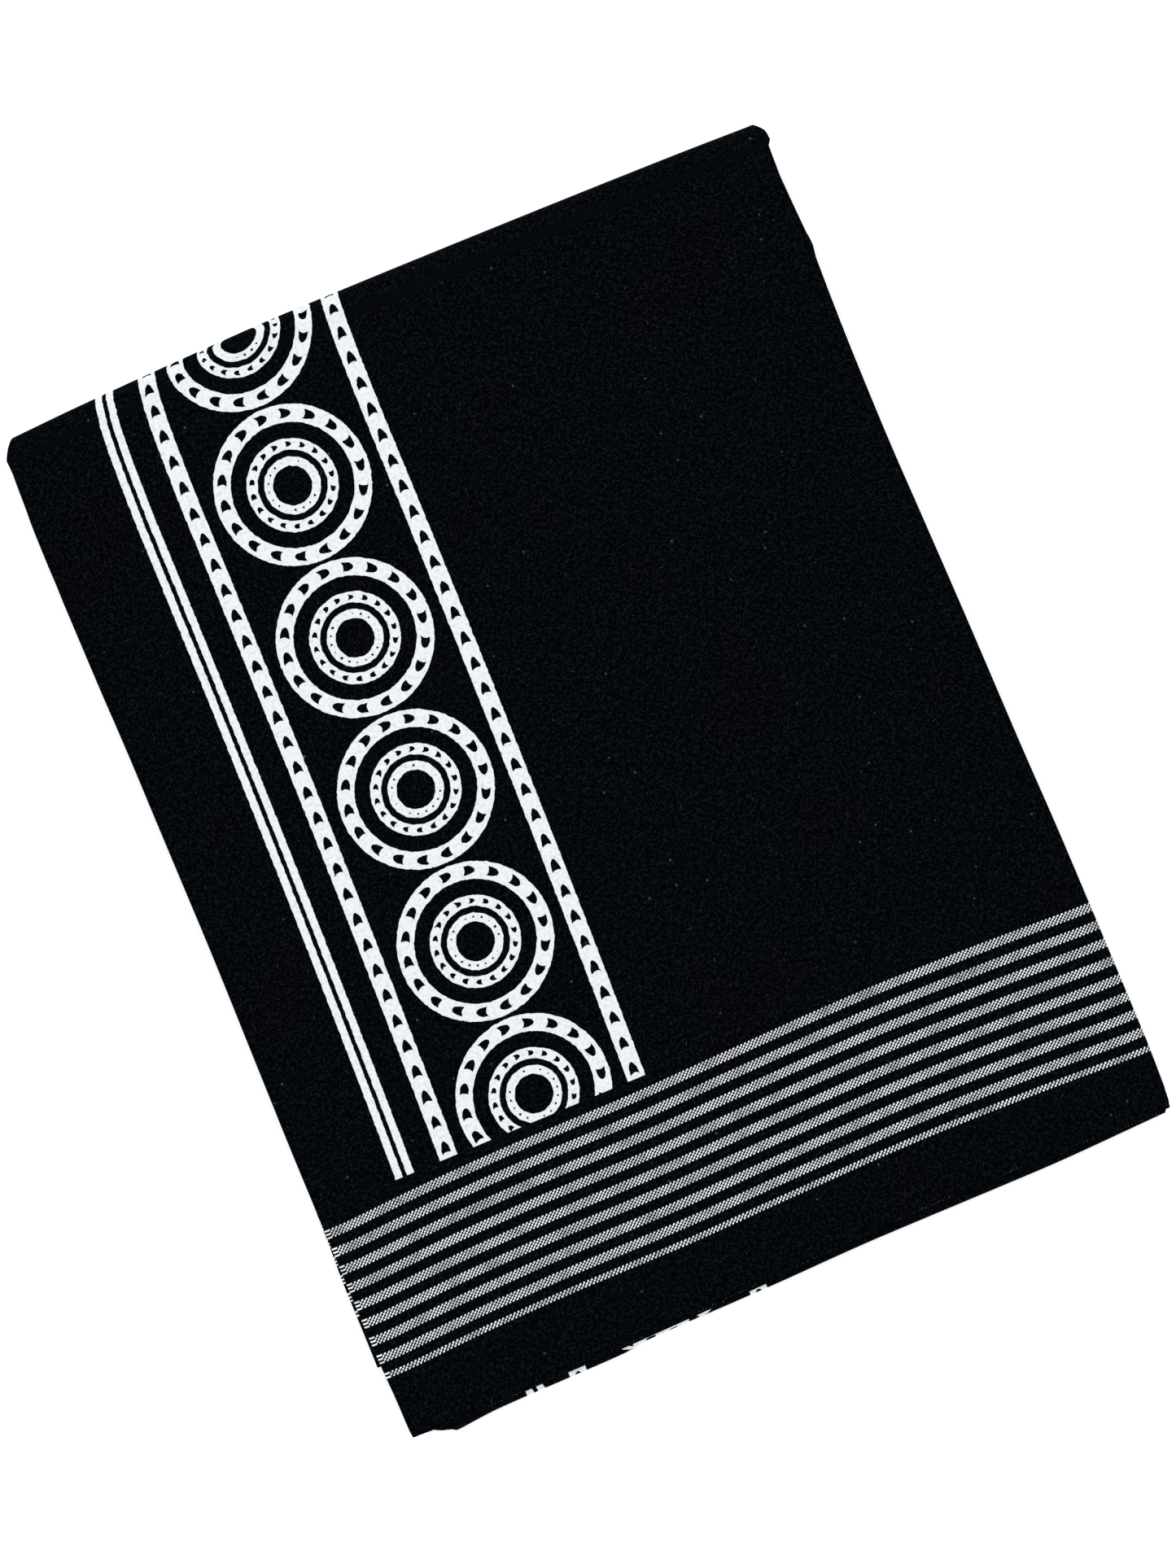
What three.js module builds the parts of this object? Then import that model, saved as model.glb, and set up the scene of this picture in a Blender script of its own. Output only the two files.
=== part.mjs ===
// A mundu: one length of black handloom cotton with a woven border along each long edge,
// folded into a flat pack and lying on its back. Millimetres, +Z up, the origin under the
// middle of the pack, X along its short side and Y along its long side, the top fold at +Y.
//
// The cloth is folded in half three times along its length. That makes a stack of eight plies,
// closed along the left edge and open along the right one. The stack is then folded in half
// twice across its width. It starts at the front, turns over the top fold to the back, turns
// again at the bottom and ends in between, so four stacks lie on each other.

import { BufferGeometry, Float32BufferAttribute, Group, MathUtils } from 'three'
import { Mesh, MeshStandardMaterial } from 'three'

// The pack: its longest and widest reach
const packLength = 325.1
const packWidth = 247.5

// One stack of eight plies, and the clearance between two stacks
const stackThickness = 2.9
const clearance = 0.3
const plyThickness = stackThickness / 8

// The back stack and the one on it, joined by the bottom fold
const bottomFoldRadius = stackThickness + clearance / 2
// The top fold goes round all four stacks
const topFoldRadius = 6.5
// The inner fold joins the second and third stacks inside the top fold
const innerFoldRadius = topFoldRadius - stackThickness - clearance
const innerFoldWall = innerFoldRadius - clearance / 2
// The second stack rests on the third one
const secondStackFoot = 2 * bottomFoldRadius + clearance

// Where the bottom fold's return ends and the hidden layers begin
const hiddenStart = -136.4

// The front stack is as wide all along its woven edges as it is here
const frontSelvedgeMiddle = -157.9

// Rows of points stay within these places, clear of the slanting woven edges and the folds
const frontSelvedgeRoom = -149
const bottomFoldRoom = -152
const secondSelvedgeRoom = -131
const topFoldRoom = 152

// Points across a stack's face, round its closed edge, and round a fold
const acrossSteps = 8
const lipSteps = 6
const foldSteps = 10

// The far edge of the top fold, seen from above
const topEdge = [
  { x: -116, y: packLength / 2 - 2.6 },
  { x: -95, y: packLength / 2 - 1.6 },
  { x: -66, y: packLength / 2 - 0.7 },
  { x: -27, y: packLength / 2 },
  { x: 2, y: packLength / 2 - 0.2 },
  { x: 49, y: packLength / 2 - 0.8 },
  { x: 97, y: packLength / 2 - 1.7 },
  { x: 120, y: packLength / 2 - 2.4 },
]

// The near edge: the bottom fold reaches a little past the border's plain strip
const bottomEdge = [
  { x: -110, y: -packLength / 2 },
  { x: -95, y: -packLength / 2 + 1 },
  { x: -56, y: -packLength / 2 + 1.5 },
  { x: -47, y: -packLength / 2 + 2.4 },
  { x: -8, y: -packLength / 2 + 3.1 },
  { x: 30, y: -packLength / 2 + 3.8 },
  { x: 78, y: -packLength / 2 + 3.4 },
  { x: 121, y: -packLength / 2 + 5.1 },
]

// The woven edges of the front stack: the front ply's, the next three plies' and the rest
const frontSelvedges = [
  { x: -122, front: -159.2, middle: -159.3, rest: -159.5 },
  { x: -112, front: -159.7, middle: -159.9, rest: -160.1 },
  { x: -60, front: -158.7, middle: -159.1, rest: -159.6 },
  { x: -9, front: -157.1, middle: -157.7, rest: -158.4 },
  { x: 39, front: -155.6, middle: -156.5, rest: -157.2 },
  { x: 71, front: -155.5, middle: -156.5, rest: -157.3 },
  { x: 95, front: -155.9, middle: -156.6, rest: -157.2 },
  { x: 113, front: -156.7, middle: -156.9, rest: -157.1 },
  { x: 123, front: -156.3, middle: -156.5, rest: -156.7 },
]

// The sides of the front stack, from its woven edge to the top fold
const frontSides = [
  { y: -159, left: -121.5, right: 120.6 },
  { y: -154, left: -122.1, right: 122.2 },
  { y: -146, left: -122.1, right: 122.7 },
  { y: -73, left: -122, right: 123.2 },
  { y: -40, left: -121.7, right: 122.9 },
  { y: 0, left: -121, right: 122.8 },
  { y: 35, left: -121, right: 122.3 },
  { y: 59, left: -120.9, right: 121.9 },
  { y: 84, left: -121.1, right: 122.2 },
  { y: 108, left: -121.1, right: 122.7 },
  { y: 119, left: -121, right: 123.6 },
  { y: 126, left: -121, right: 123 },
  { y: 138, left: -120.6, right: 122.4 },
  { y: 149, left: -120.1, right: 122.8 },
  { y: 154.4, left: -119.3, right: packWidth / 2 },
  { y: 157, left: -118.3, right: 123.3 },
  { y: 161.5, left: -116.8, right: 120.4 },
]

// The sides of the back stack, whose near left corner is pulled in
const backSides = [
  { y: -161.5, left: -110.2, right: 120.6 },
  { y: -158, left: -114, right: 121.3 },
  { y: -146, left: -117.9, right: 121.6 },
  { y: -126, left: -119.5, right: 121.9 },
  { y: -40, left: -120.4, right: 122.1 },
  { y: 59, left: -120.2, right: 121.2 },
  { y: 149, left: -119.6, right: 122 },
  { y: 161.5, left: -116.8, right: 120.4 },
]

// The sides of the second stack, whose border shows past the front one on the left
const secondSides = [
  { y: -136.4, left: -packWidth / 2, right: 121.5 },
  { y: -126, left: -123.4, right: 121.8 },
  { y: -109, left: -123.1, right: 121.9 },
  { y: -97, left: -122.5, right: 122.1 },
  { y: -73, left: -122, right: 122.2 },
  { y: -40, left: -121.3, right: 122 },
  { y: 59, left: -120.3, right: 121.2 },
  { y: 154, left: -119.2, right: 121.6 },
]

// The woven edge of the second stack
const secondSelvedge = [
  { x: -124, y: -136.4 },
  { x: -60, y: -135.2 },
  { x: 20, y: -134.2 },
  { x: 80, y: -133 },
  { x: 123, y: -133.8 },
]

// The height of the front face along the pack: it dips where the second stack has ended
const frontHeights = [
  { y: -150, z: 9.3 },
  { y: -146, z: 9.7 },
  { y: -141, z: 11.2 },
  { y: -136, z: 12.1 },
  { y: -126, z: 12.4 },
  { y: 0, z: 12.4 },
  { y: 108, z: 12.6 },
  { y: 138, z: 12.9 },
  { y: 154, z: 2 * topFoldRadius },
]

// The open edge of a stack: two cut ends, a single fold and a double fold.
// inset is how far each point lies inside the edge, depth its share of the thickness.
const openEdge = [
  { inset: 1, depth: 0 },
  { inset: 0.9, depth: 0.11 },
  { inset: 0.5, depth: 0.13 },
  { inset: 0.45, depth: 0.23 },
  { inset: 1, depth: 0.26 },
  { inset: 0.3, depth: 0.3 },
  { inset: 0.15, depth: 0.37 },
  { inset: 0.3, depth: 0.44 },
  { inset: 1, depth: 0.48 },
  { inset: 0.3, depth: 0.55 },
  { inset: 0, depth: 0.74 },
  { inset: 0.3, depth: 0.93 },
  { inset: 1, depth: 1 },
]

// One column of a table at a place in another column, on straight lines between the rows
function read(table, from, place, to) {
  const next = table.findIndex((row) => row[from] >= place)
  if (next === -1) return table.at(-1)[to]
  if (next === 0) return table[0][to]
  const a = table[next - 1]
  const b = table[next]
  return MathUtils.mapLinear(place, a[from], b[from], a[to], b[to])
}

// A stack's section as points { x, depth }: its face, its open edge, its far face and the
// round lip of its closed edge. Where the outer plies have ended, it starts at depth outer.
function stackSection(sides, outer, thickness) {
  const lip = thickness / 2
  const faceStart = sides.left + lip
  const faceEnd = sides.right - openEdge[0].inset
  const acrossAt = (i) => MathUtils.lerp(faceStart, faceEnd, i / acrossSteps)
  const points = []
  for (let i = 0; i < acrossSteps; i++) {
    points.push({ x: acrossAt(i), depth: outer })
  }
  for (const row of openEdge) {
    const depth = Math.max(row.depth * thickness, outer)
    points.push({ x: sides.right - read(openEdge, 'depth', depth / thickness, 'inset'), depth })
  }
  for (let i = acrossSteps - 1; i >= 0; i--) {
    points.push({ x: acrossAt(i), depth: thickness })
  }
  for (let i = 1; i < lipSteps; i++) {
    const depth = Math.max(lip * (1 + Math.cos((Math.PI * i) / lipSteps)), outer)
    points.push({ x: faceStart - Math.sqrt(depth * (thickness - depth)), depth })
  }
  return points
}

// A station of a stack: its section, and a function that gives for each x the place of the
// outer face and the way inwards
function station(sides, place, outer = 0, thickness = stackThickness) {
  return { section: stackSection(sides, outer, thickness), place }
}

// The closed solid through a row of stations. Points that fall together share one corner, and
// a face that they close up is left out.
function sweep(stations) {
  const corners = new Map()
  const positions = []
  const indices = []
  const cornerAt = (x, y, z) => {
    const key = [x, y, z].map((value) => value.toFixed(3)).join()
    if (!corners.has(key)) {
      corners.set(key, corners.size)
      positions.push(x, y, z)
    }
    return corners.get(key)
  }
  const addFace = (a, b, c) => {
    if (a !== b && b !== c && c !== a) indices.push(a, b, c)
  }
  const cornerOf = ({ place }, x, depth) => {
    const at = place(x)
    return cornerAt(x, at.y + depth * at.inY, at.z + depth * at.inZ)
  }
  const rings = stations.map((each) => each.section.map(({ x, depth }) => cornerOf(each, x, depth)))
  for (let s = 0; s + 1 < rings.length; s++) {
    rings[s].forEach((corner, i) => {
      const next = (i + 1) % rings[s].length
      addFace(corner, rings[s][next], rings[s + 1][next])
      addFace(corner, rings[s + 1][next], rings[s + 1][i])
    })
  }
  // Each end is closed by a fan round its middle
  const addEnd = (each, ring) => {
    const depths = each.section.map(({ depth }) => depth)
    const middle = cornerOf(each, 0, (Math.min(...depths) + Math.max(...depths)) / 2)
    ring.forEach((corner, i) => addFace(middle, corner, ring[(i + 1) % ring.length]))
  }
  addEnd(stations[0], rings[0].toReversed())
  addEnd(stations.at(-1), rings.at(-1))
  const geometry = new BufferGeometry()
  geometry.setAttribute('position', new Float32BufferAttribute(positions, 3))
  geometry.setIndex(indices)
  geometry.computeVertexNormals()
  return geometry
}

const topFoldCentre = (x) => read(topEdge, 'x', x, 'y') - topFoldRadius
const bottomFoldCentre = (x) => read(bottomEdge, 'x', x, 'y') + bottomFoldRadius

// Every stretch has a row of points wherever a table has one, so that the stretches stay apart
const tableRows = [...frontHeights, ...frontSides, ...backSides, ...secondSides].map(({ y }) => y)
const rowsBetween = (low, high) => {
  const inside = tableRows.filter((y) => y > low && y < high)
  return [...new Set(inside)].sort((a, b) => a - b)
}

const frontHeight = (y) => read(frontHeights, 'y', y, 'z')
const sidesAt = (table, y) => {
  return { left: read(table, 'y', y, 'left'), right: read(table, 'y', y, 'right') }
}

function blendSides(a, b, share) {
  return {
    left: MathUtils.lerp(a.left, b.left, share),
    right: MathUtils.lerp(a.right, b.right, share),
  }
}

// A point on a flat run whose outer face looks up or down
const flatPlace = (y, z, up) => ({ y, z, inY: 0, inZ: up ? -1 : 1 })

// A point on a fold round (centre, height). turn is 90 degrees on its upper side, and way is
// +1 for a fold towards +Y
function foldPlace(centre, height, radius, turn, way) {
  const outY = way * Math.cos(turn)
  const outZ = Math.sin(turn)
  return { y: centre + radius * outY, z: height + radius * outZ, inY: -outY, inZ: -outZ }
}

// The front, the top fold, the back and the bottom fold: the stretch that shows all round
function outerStretch() {
  const stations = []
  const atSelvedge = (column, outer) => {
    const place = (x) => {
      const y = read(frontSelvedges, 'x', x, column)
      return flatPlace(y, frontHeight(y), true)
    }
    stations.push(station(sidesAt(frontSides, frontSelvedgeMiddle), place, outer))
  }
  atSelvedge('rest', 4 * plyThickness)
  atSelvedge('middle', 4 * plyThickness)
  atSelvedge('middle', plyThickness)
  atSelvedge('front', plyThickness)
  atSelvedge('front', 0)

  for (const y of rowsBetween(frontSelvedgeRoom, topFoldRoom)) {
    stations.push(station(sidesAt(frontSides, y), () => flatPlace(y, frontHeight(y), true)))
  }
  for (let i = 0; i <= foldSteps; i++) {
    const turn = Math.PI * (0.5 - i / foldSteps)
    const place = (x) => foldPlace(topFoldCentre(x), topFoldRadius, topFoldRadius, turn, 1)
    const y = place(0).y
    const sides = blendSides(sidesAt(frontSides, y), sidesAt(backSides, y), i / foldSteps)
    stations.push(station(sides, place))
  }
  for (const y of rowsBetween(bottomFoldRoom, topFoldRoom).reverse()) {
    stations.push(station(sidesAt(backSides, y), () => flatPlace(y, 0, false)))
  }
  for (let i = 0; i <= foldSteps; i++) {
    const turn = Math.PI * (i / foldSteps - 0.5)
    const place = (x) => foldPlace(bottomFoldCentre(x), bottomFoldRadius, bottomFoldRadius, turn, -1)
    // The pulled-in corner lies where the fold reaches furthest
    const reach = MathUtils.lerp(bottomFoldRoom, -packLength / 2, Math.cos(turn))
    stations.push(station(sidesAt(backSides, reach), place))
  }
  for (const y of [...rowsBetween(bottomFoldRoom, hiddenStart - 1), hiddenStart - clearance]) {
    stations.push(station(sidesAt(backSides, y), () => flatPlace(y, 2 * bottomFoldRadius, true)))
  }
  return sweep(stations)
}

// The second stack, under the front: its border shows as a thin sliver on the left
function secondStretch() {
  const stations = []
  const addRow = (y, place) => {
    // It fills what the front stack leaves above the third one
    const thickness = place(0).z - secondStackFoot
    stations.push(station(sidesAt(secondSides, y), place, 0, thickness))
  }
  const under = (y) => flatPlace(y, frontHeight(y) - stackThickness - clearance, true)
  addRow(hiddenStart, (x) => under(read(secondSelvedge, 'x', x, 'y')))
  for (const y of rowsBetween(secondSelvedgeRoom, topFoldRoom)) {
    addRow(y, () => under(y))
  }
  addRow(topFoldRoom, (x) => under(topFoldCentre(x) - clearance))
  return sweep(stations)
}

// The third stack and the inner fold: the layers that the others hide
function hiddenLayers() {
  const stations = []
  const foot = stackThickness + clearance
  for (let i = 0; i <= foldSteps; i++) {
    const turn = Math.PI * (0.5 - i / foldSteps)
    const place = (x) => foldPlace(topFoldCentre(x), foot + innerFoldRadius, innerFoldRadius, turn, 1)
    const wall = MathUtils.lerp(innerFoldWall, stackThickness, i / foldSteps)
    stations.push(station(sidesAt(backSides, topFoldRoom), place, 0, wall))
  }
  for (const y of [hiddenStart, ...rowsBetween(hiddenStart + 1, topFoldRoom)].reverse()) {
    stations.push(station(sidesAt(backSides, y), () => flatPlace(y, foot, false)))
  }
  return sweep(stations)
}

function clothNode(name, geometry) {
  const material = new MeshStandardMaterial({ color: 0x121113, roughness: 0.95, metalness: 0 })
  const mesh = new Mesh(geometry, material)
  mesh.name = name
  return mesh
}

const mundu = new Group()
mundu.add(clothNode('outer_stretch', outerStretch()))
mundu.add(clothNode('second_stretch', secondStretch()))
mundu.add(clothNode('hidden_layers', hiddenLayers()))

export default mundu
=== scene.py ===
import math

import bpy
import numpy as np
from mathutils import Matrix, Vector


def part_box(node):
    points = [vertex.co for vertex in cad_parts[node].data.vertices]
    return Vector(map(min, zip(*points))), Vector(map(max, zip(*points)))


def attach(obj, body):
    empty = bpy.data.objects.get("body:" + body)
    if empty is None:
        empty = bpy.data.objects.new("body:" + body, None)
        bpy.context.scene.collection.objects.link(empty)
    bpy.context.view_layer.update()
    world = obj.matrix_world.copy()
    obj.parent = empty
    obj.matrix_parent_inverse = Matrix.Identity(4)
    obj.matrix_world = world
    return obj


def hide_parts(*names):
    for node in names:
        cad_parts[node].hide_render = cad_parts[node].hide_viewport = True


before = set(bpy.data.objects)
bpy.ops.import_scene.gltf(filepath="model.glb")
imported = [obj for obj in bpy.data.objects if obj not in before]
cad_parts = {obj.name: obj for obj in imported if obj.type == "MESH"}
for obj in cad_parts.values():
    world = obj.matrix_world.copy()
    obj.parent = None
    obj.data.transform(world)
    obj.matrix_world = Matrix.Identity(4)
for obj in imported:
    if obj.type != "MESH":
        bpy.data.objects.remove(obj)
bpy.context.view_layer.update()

# A black cotton mundu folded to a flat pack: eight plies wide, four stacks high. The cloth is
# built as it is folded. The front ply, which shows all round, is one piece, the plies inside
# it another, and the two stacks between front and back a third.
# Sizes are in millimetres, as in the CAD source, and become metres when a mesh is made.
METRE = 0.001

# The pack, from the frame
pack_low, pack_high = (np.array(corner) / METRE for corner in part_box("outer_stretch"))
pack_thickness = pack_high[2] - pack_low[2]
top_fold_radius = pack_thickness / 2

# The cloth: one panel of its length is as wide as the pack
panel_width = 250.0
plies = 8
stack_thickness = 2.9
cloth_thickness = 0.26
bottom_fold_radius = 3.05
third_stack_top = 2 * bottom_fold_radius
second_stack_foot = 6.4
second_stack_fade = 30.0
inner_fold_hollow = 0.15
stack_gap = 0.3
fold_room = 152.0
no_border = 300.0
hidden_path = 1200.0

# How far the top fold stays short of the pack's far end: place across, shortfall
top_shortfall = [
    (-116, 2.6), (-95, 1.6), (-66, 0.7), (-27, 0), (2, 0.2), (49, 0.8), (97, 1.7), (120, 2.4),
]

# How far the bottom fold of the back stays short of the near end: place across, shortfall
bottom_shortfall = [
    (-110, -1.0), (-95, 0.2), (-56, 0.7), (-47, 1.7), (-8, 2.2), (30, 3.0), (78, 2.9), (121, 4.1),
]

# The woven edge of the front ply and of the innermost one: place across, place along
front_selvedge = [
    (-122, -159.5), (-112, -159.6), (-60, -158.7), (-9, -157.1), (39, -155.6),
    (71, -155.5), (95, -155.9), (113, -156.7), (123, -156.3),
]
inner_selvedge = [
    (-122, -159.5), (-112, -160.1), (-60, -159.6), (-9, -158.4), (39, -157.2),
    (71, -157.3), (95, -157.2), (113, -157.1), (123, -156.7),
]
selvedge_middle = -157.9
selvedge_fade = 40.0

# The sides of the front stack, the back and the second stack: place along, left, right
front_sides = [
    (-160, -122.3, 121.9), (-155, -122.8, 123.2), (-146, -122.8, 123.5), (-73, -122.5, 123.7),
    (-40, -122.0, 123.3), (0, -121.4, 123.1), (35, -121.3, 122.7), (59, -121.2, 122.4),
    (84, -121.4, 122.6), (108, -121.4, 123.2), (114, -121.3, 123.4), (120.5, -121.3, 124.3),
    (128, -121.2, 123.2), (133, -121.1, 123.4), (138, -120.8, 122.8), (146, -120.5, 123.3),
    (150, -120.3, 123.1), (155, -120.6, 124.4), (158, -119.9, 124.6), (162.5, -118.2, 122.4),
]
back_sides = [
    (-162.5, -111.0, 120.8), (-159.5, -111.4, 121.2), (-156, -114.2, 121.4),
    (-146, -117.9, 121.6), (-126, -119.5, 121.9),
    (-40, -120.4, 122.1), (59, -120.2, 121.2), (149, -119.6, 122.0), (161.5, -116.8, 120.4),
]
second_sides = [
    (-136.4, -124.4, 121.9), (-126, -124.1, 122.2), (-109, -123.9, 122.3), (-97, -123.3, 122.5),
    (-73, -122.7, 122.6), (-40, -121.5, 122.4), (59, -120.3, 121.6), (154, -119.2, 122.0),
]
# The woven edge of the second stack: place across, place along
second_selvedge = [(-124, -136.4), (-60, -135.2), (20, -134.2), (80, -133.0), (123, -133.8)]
second_selvedge_middle = -134.5

# The height of the front face: place along, height
front_heights = [
    (-150, 9.3), (-146, 9.7), (-141, 11.2), (-136, 12.1), (-126, 12.4),
    (0, 12.4), (108, 12.6), (138, 12.9), (154, pack_thickness),
]

# The border's first stripe bows across the pack: place across, place along
first_stripe = [
    (-116, -92.6), (-84, -91.0), (-57, -90.5), (-28, -90.6),
    (5, -89.8), (50, -88.9), (85, -89.6), (119, -91.0),
]
stripe_from_selvedge = 66.3
second_stripe_from_selvedge = 63.8

# The print leans a little, and it was dragged to the right where the cloth turns over. Its
# bits on the bottom fold show how far it has moved across and along the hidden back. It
# climbs a little too far up the front, and catches up over the top fold. The two tables give
# the path over the face, then the drag or the rise.
pack_middle = -1.35
print_left = -94.32
print_lean = 0.02504
print_lean_change = -7.803e-5
print_turns_over = 160.0
print_back_lean = 0.0076
print_back_stretch = 0.945
print_drag = [(120, 0.0), (128, 0.2), (143, 0.75), (152, 1.5), (158, 2.3), (164, 3.0), (180, 3.3)]
print_drag_loss = 0.0065
print_rise = [(60, 0.0), (114, 0.45), (140, 1.0), (148, 0.95), (155, 0.4), (163, -0.8), (172, -1.2)]


def smooth_table(table, column=1):
    """A function that runs smoothly through a table's rows, without swinging past them."""
    at = np.array([row[0] for row in table], float)
    value = np.array([row[column] for row in table], float)
    step = np.diff(at)
    slope = np.diff(value) / step
    turn = np.zeros(len(at))
    turn[0], turn[-1] = slope[0], slope[-1]
    same_way = slope[:-1] * slope[1:] > 0
    share = np.where(same_way, slope[:-1] * slope[1:], 0)
    turn[1:-1] = 2 * share / np.where(same_way, slope[:-1] + slope[1:], 1)

    def read(place):
        place = np.clip(np.asarray(place, float), at[0], at[-1])
        i = np.clip(np.searchsorted(at, place, side="right") - 1, 0, len(step) - 1)
        u = (place - at[i]) / step[i]
        start = (1 + 2 * u) * (1 - u) ** 2 * value[i] + u * (1 - u) ** 2 * step[i] * turn[i]
        end = u * u * (3 - 2 * u) * value[i + 1] - u * u * (1 - u) * step[i] * turn[i + 1]
        return start + end

    return read


def smooth_step(value, low, high):
    u = np.clip((value - low) / (high - low), 0, 1)
    return u * u * (3 - 2 * u)


def waves(seed, longest, shortest, count=7):
    """A gentle irregular line between about -1 and 1, the same each run."""
    draw = np.random.RandomState(seed)
    lengths = np.geomspace(longest, shortest, count)
    starts = draw.uniform(0, 2 * math.pi, count)
    sizes = (lengths / longest) ** 0.6
    total = math.sqrt((sizes ** 2).sum())

    def read(place):
        place = np.asarray(place, float)[..., None]
        return (sizes * np.sin(2 * math.pi * place / lengths + starts)).sum(-1) / total

    return read


top_shortfall_at = smooth_table(top_shortfall)
bottom_shortfall_at = smooth_table(bottom_shortfall)
front_selvedge_at = smooth_table(front_selvedge)
inner_selvedge_at = smooth_table(inner_selvedge)
second_selvedge_at = smooth_table(second_selvedge)
front_height_at = smooth_table(front_heights)
first_stripe_at = smooth_table(first_stripe)
print_drag_at = smooth_table(print_drag)
print_rise_at = smooth_table(print_rise)
front_left, front_right = smooth_table(front_sides, 1), smooth_table(front_sides, 2)
back_left, back_right = smooth_table(back_sides, 1), smooth_table(back_sides, 2)
second_left, second_right = smooth_table(second_sides, 1), smooth_table(second_sides, 2)


def top_at(x):
    return pack_high[1] - top_shortfall_at(x)


def bottom_at(x):
    return pack_low[1] + bottom_shortfall_at(x)


# Where the folds begin, and the path over the outer face at each
fold_start = float(top_at(0)) - top_fold_radius
back_start = fold_start + math.pi * top_fold_radius
bottom_start = float(bottom_at(0)) + bottom_fold_radius
back_end = back_start + print_back_stretch * (fold_start - bottom_start)
third_start = back_end + print_back_stretch * math.pi * bottom_fold_radius

# How far each ply's edge lies inside the open edge: two cut ends, and the lips of two folds.
# The numbers are the plies that an edge or a lip ends, counted from the outer face.
open_edge_inset = {1: 0.15, 2: 0.45, 3: 0.55, 4: 0.55, 5: 0.2, 6: 0.65, 7: 0.65, 8: 0.2}
open_edge_sway = {n: waves(40 + min(n, 9 - n) + (n in (3, 4)), 90, 9) for n in range(1, plies + 1)}
open_edge_sway[4] = open_edge_sway[3]
open_edge_sway[8] = open_edge_sway[5]
open_edge_sway[7] = open_edge_sway[6]
sway_size = 0.3

# Soft unevenness of the pressed front, which the inner plies follow less
swell_size = 0.16
swell_waves = [
    (waves(3, 150, 38, 5), math.radians(12)),
    (waves(5, 120, 32, 5), math.radians(74)),
    (waves(8, 180, 45, 5), math.radians(131)),
]


def front_swell(x, y):
    room = smooth_step(x, -124, -100) * (1 - smooth_step(x, 98, 124)) * smooth_step(y, -156, -130)
    room = room * (1 - smooth_step(y, 120, 150))
    total = sum(wave(x * math.cos(way) + y * math.sin(way)) for wave, way in swell_waves)
    return swell_size * room * total / len(swell_waves)


# Across the pack

class Section:
    """Points across a stack. share runs from the closed edge to the open one, depth and bulge
    are in plies, edge is the ply whose open edge the point follows, and along is the cloth's
    own length."""

    def __init__(self):
        self.rows = []

    def add(self, share, depth, bulge, edge, along):
        self.rows.append((share, depth, bulge, edge, along))

    def face(self, ply, shares, panel, to_closed):
        """One ply's flat run. panel is its place in the cloth's length."""
        for share in shares:
            way = 1 - share if to_closed else share
            self.add(share, ply - 0.5, 0, ply, (panel + way) * panel_width)

    def closed_lip(self, first, last, panel, steps):
        """The fold at the closed edge, from ply first to ply last."""
        radius = (last - first) / 2
        for i in range(1, steps):
            turn = math.pi * i / steps
            depth = (first + last - 1) / 2 - radius * math.cos(turn)
            self.add(0, depth, -abs(radius) * math.sin(turn), last, panel * panel_width)

    def open_lip(self, first, last, panel, steps):
        """The fold at the open edge, from ply first to ply last."""
        radius = (last - first) / 2
        for i in range(1, steps):
            turn = math.pi * i / steps
            depth = (first + last - 1) / 2 - radius * math.cos(turn)
            self.add(1, depth, abs(radius) * math.sin(turn), last, panel * panel_width)

    def arrays(self):
        share, depth, bulge, edge, along = (np.array(each) for each in zip(*self.rows))
        return share, depth, bulge, edge.astype(int), along


def shares_across(count, fine):
    """Places from the closed edge to the open one, with fine extra ones near both ends."""
    first_gap, growth, step_off = 0.004, 1.9, 1.6
    ends = [first_gap * growth ** i for i in range(fine)]
    inner_end = ends[-1] * step_off
    inner = np.linspace(inner_end, 1 - inner_end, count)
    return [0, *ends, *inner, *[1 - e for e in reversed(ends)], 1]


def outer_section():
    """The front ply, its closed edge and the start of the ply that it turns into."""
    section = Section()
    section.face(1, reversed(shares_across(92, 2)), 0, True)
    section.closed_lip(1, 8, 1, 9)
    section.face(8, [0, 0.012, 0.03], 1, False)
    return section


def inner_section(start):
    """The plies in the order in which the cloth runs through them."""
    section = Section()
    shares = shares_across(19, 3)
    if start == 1:
        section.face(1, reversed(shares), 0, True)
        section.closed_lip(1, 8, 1, 9)
    section.face(8, shares, 1, False)
    section.open_lip(8, 5, 2, 6)
    section.face(5, reversed(shares), 2, True)
    section.closed_lip(5, 4, 3, 4)
    section.face(4, shares, 3, False)
    section.open_lip(4, 3, 4, 4)
    section.face(3, reversed(shares), 4, True)
    section.closed_lip(3, 6, 5, 6)
    section.face(6, shares, 5, False)
    section.open_lip(6, 7, 6, 4)
    section.face(7, reversed(shares), 6, True)
    section.closed_lip(7, 2, 7, 7)
    section.face(2, shares, 7, False)
    return section


# Along the pack

class Row:
    """One row of points across the pack: its sides, thickness and place, and where it lies on
    the cloth. place(x, depth) gives y, z and the way inwards; border(x, y) the distance from
    the woven edge; path the distance over the face from the pack's middle."""

    def __init__(self, left, right, place, border, path, thickness=stack_thickness):
        self.left = left
        self.right = right
        self.place = place
        self.border = border
        self.path = path
        self.thickness = thickness


def front_border(x, y):
    return stripe_from_selvedge + y - first_stripe_at(x)


def far_border(x, y):
    """Far from both woven edges the border's place no longer matters."""
    return np.full_like(x, no_border) + y


def along_places(start, end, steps):
    """Places from start to end, closer together near the start."""
    u = np.linspace(0, 1, steps)
    return start + (end - start) * (0.82 * u + 0.18 * u * u)


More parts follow.
